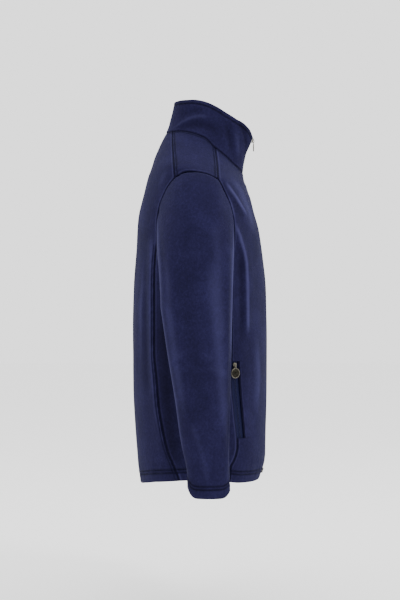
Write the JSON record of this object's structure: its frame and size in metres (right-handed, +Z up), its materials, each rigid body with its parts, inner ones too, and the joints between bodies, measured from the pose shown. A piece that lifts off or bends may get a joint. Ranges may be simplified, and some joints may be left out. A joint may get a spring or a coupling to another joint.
{
  "type": "fleece zip jacket",
  "caption": "Navy fleece jacket in its worn shape, with a stand collar, a full-length front zip, long sleeves, shoulder strips, side panels and zipped side pockets with disc pulls.",
  "frame": {"origin": "the wearer's neck base at shoulder height, on the centre line between the two shoulders, where the wearer holds the jacket up", "axes": "+Z up along the wearer's back, -Y towards the wearer's front, -X towards the wearer's right hand"},
  "size_m": [0.6678, 0.274, 0.7751],
  "materials": {
    "fleece": "brushed polyester fleece",
    "zip_tape": "woven polyester tape with moulded coil",
    "dark_metal": "antique, lightly polished"
  },
  "bodies": {
    "jacket": {"front_right": "fleece", "front_left": "fleece", "back": "fleece", "side_panel_right": "fleece", "side_panel_left": "fleece", "shoulder_right": "fleece", "shoulder_left": "fleece", "sleeve_right": "fleece", "sleeve_left": "fleece", "collar": "fleece", "front_zip": "zip_tape", "pocket_tape_right": "zip_tape", "pocket_tape_left": "zip_tape", "front_slider": "dark_metal", "front_zip_box": "dark_metal", "pocket_slider_right": "dark_metal", "pocket_slider_left": "dark_metal"},
    "front_pull": {"front_pull": "dark_metal"},
    "right_pocket_pull": {"pocket_pull_right": "dark_metal"},
    "left_pocket_pull": {"pocket_pull_left": "dark_metal"}
  },
  "joints": [
    {"name": "front_pull_hinge", "type": "hinge", "parent": "jacket", "child": "front_pull", "pos_m": [0, -0.10938, -0.00463], "axis": [-1, 0, 0], "range_deg": [-15, 145]},
    {"name": "right_pocket_pull_hinge", "type": "hinge", "parent": "jacket", "child": "right_pocket_pull", "pos_m": [-0.19845, -0.06879, -0.45113], "axis": [-0.5522, 0.8337, -0.0069], "range_deg": [0, 160]},
    {"name": "left_pocket_pull_hinge", "type": "hinge", "parent": "jacket", "child": "left_pocket_pull", "pos_m": [0.19845, -0.06879, -0.45113], "axis": [-0.5522, -0.8337, 0.0069], "range_deg": [0, 160]}
  ]
}
